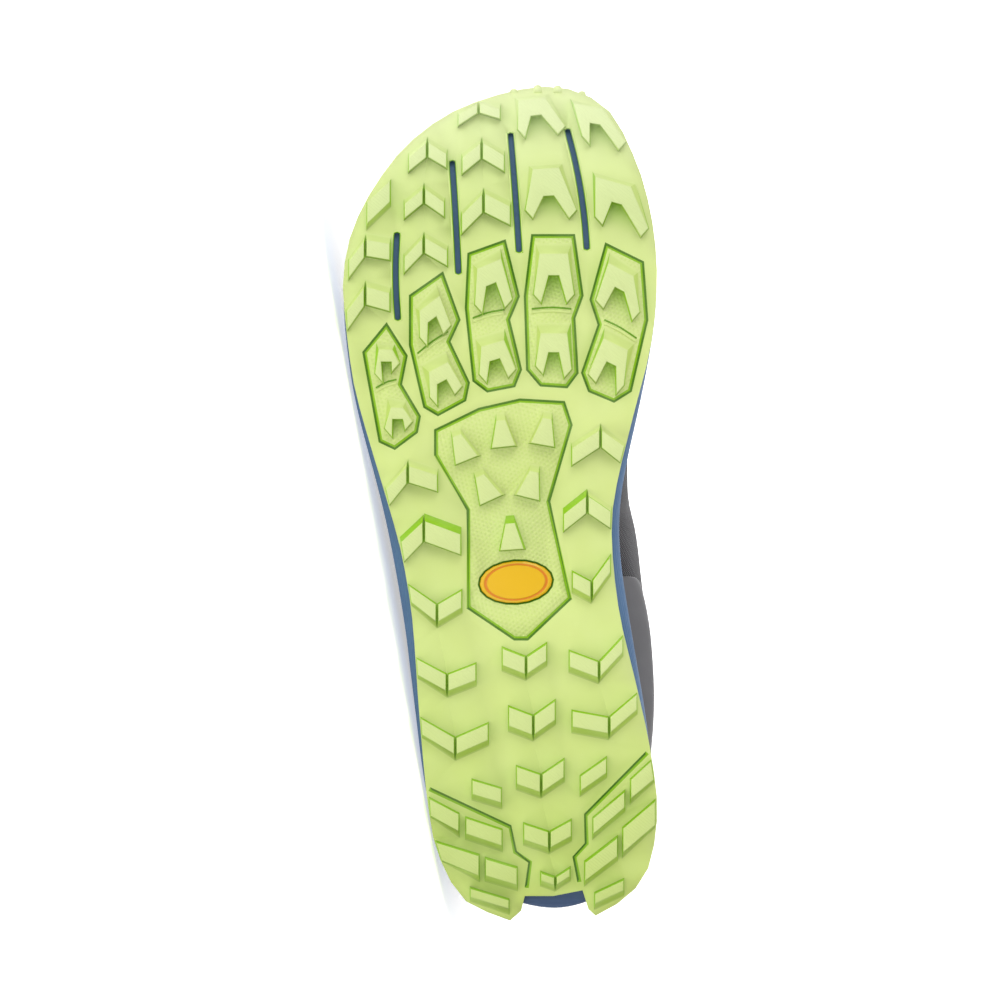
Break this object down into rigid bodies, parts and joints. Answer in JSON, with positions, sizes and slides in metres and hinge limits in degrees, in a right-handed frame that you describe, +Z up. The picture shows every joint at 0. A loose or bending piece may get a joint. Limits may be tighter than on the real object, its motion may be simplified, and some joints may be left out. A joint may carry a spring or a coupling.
{
  "type": "trail running shoe",
  "caption": "Trail running shoe for the right foot lying on its outer side: lugged lime sole, blue foam midsole and grey laced upper, open at the collar.",
  "frame": {"origin": "centre of the bounding box's underside, on the floor that the shoe lies on", "axes": "the shoe lies on its outer side; +X from toe to heel, -Y the way the tread faces, +Z up, which is towards the big-toe side"},
  "size_m": [0.297, 0.1298, 0.1164],
  "materials": {
    "rubber_lime": "matte, fine texture",
    "inlay_amber": "satin",
    "foam_blue": "matte moulded foam",
    "insole_black": "matte knit",
    "upper_grey": "matte woven",
    "overlay_grey": "matte film",
    "overlay_black": "matte",
    "tongue_black": "matte padded",
    "lace_black": "matte braid",
    "eyelet_grey": "satin"
  },
  "bodies": {
    "root": {"outsole": "rubber_lime", "inlay": "inlay_amber", "midsole": "foam_blue", "insole": "insole_black", "upper": "upper_grey", "toe_guard": "overlay_grey", "heel_counter": "overlay_grey", "lace_facing": "overlay_black", "tongue": "tongue_black", "laces": "lace_black", "eyelet_outer_1": "eyelet_grey", "eyelet_outer_2": "eyelet_grey", "eyelet_outer_3": "eyelet_grey", "eyelet_outer_4": "eyelet_grey", "eyelet_outer_5": "eyelet_grey", "eyelet_inner_1": "eyelet_grey", "eyelet_inner_2": "eyelet_grey", "eyelet_inner_3": "eyelet_grey", "eyelet_inner_4": "eyelet_grey", "eyelet_inner_5": "eyelet_grey"}
  },
  "joints": []
}
